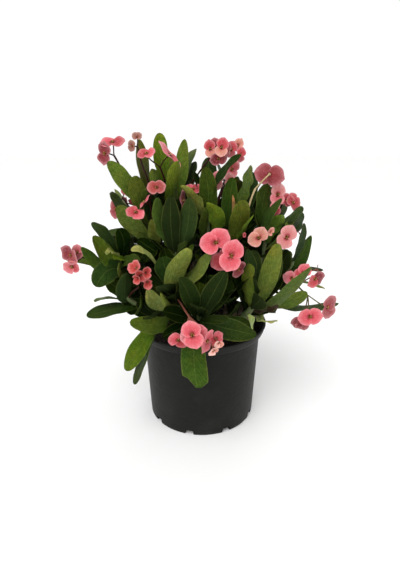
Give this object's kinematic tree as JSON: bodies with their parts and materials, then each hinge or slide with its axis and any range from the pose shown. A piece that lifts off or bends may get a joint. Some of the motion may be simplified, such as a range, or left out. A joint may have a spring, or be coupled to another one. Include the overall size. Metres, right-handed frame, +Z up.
{
  "type": "potted flowering plant",
  "caption": "Crown of thorns plant with glossy leaves and coral bract flowers, standing in a black plastic nursery pot.",
  "frame": {"origin": "middle of the pot's flat foot", "axes": "+Z up along the pot's axis; -Y is the side the plant is shown from"},
  "size_m": [0.4058, 0.3256, 0.4324],
  "materials": {
    "pot": "slightly glossy black plastic",
    "soil": "dark crumbly potting mix",
    "cane": "rough grey-brown bark with spines",
    "leaf": "glossy green leaf",
    "bloom": "soft satin coral bracts"
  },
  "bodies": {
    "root": {"cane_left": "cane", "cane_front": "cane", "cane_front_right": "cane", "cane_right": "cane", "cane_middle": "cane", "cane_upper_left": "cane", "cane_back_right": "cane", "cane_back_left": "cane", "shoot_a": "leaf", "shoot_b": "leaf", "shoot_c": "leaf", "shoot_d": "leaf", "shoot_e": "leaf", "shoot_f": "leaf", "shoot_g": "leaf", "shoot_h": "leaf", "shoot_i": "leaf", "shoot_j": "leaf", "shoot_k": "leaf", "shoot_l": "leaf", "shoot_m": "leaf", "shoot_n": "leaf", "shoot_o": "leaf", "shoot_p": "leaf", "shoot_q": "leaf", "shoot_r": "leaf", "shoot_s": "leaf", "shoot_t": "leaf", "shoot_u": "leaf", "shoot_v": "leaf", "shoot_w": "leaf", "shoot_x": "leaf", "shoot_y": "leaf", "shoot_z": "leaf", "pot": "pot", "bloom_top_left": "bloom", "bloom_left_upper": "bloom", "bloom_top_peach": "bloom", "bloom_top_slant": "bloom", "bloom_left_pair": "bloom", "bloom_middle_left": "bloom", "bloom_top_middle": "bloom", "bloom_top_right": "bloom", "bloom_middle_upper": "bloom", "bloom_right_back_view": "bloom", "bloom_right_upper": "bloom", "bloom_right_pink": "bloom", "bloom_right_peach": "bloom", "bloom_front_pair": "bloom", "bloom_far_left": "bloom", "bloom_left_coral": "bloom", "bloom_front_low": "bloom", "bloom_right_cluster": "bloom", "bloom_right_low": "bloom", "bloom_back_p": "bloom", "bloom_back_s": "bloom", "bloom_back_t": "bloom", "bloom_back_w": "bloom", "bloom_back_x": "bloom", "soil": "soil"}
  },
  "joints": []
}
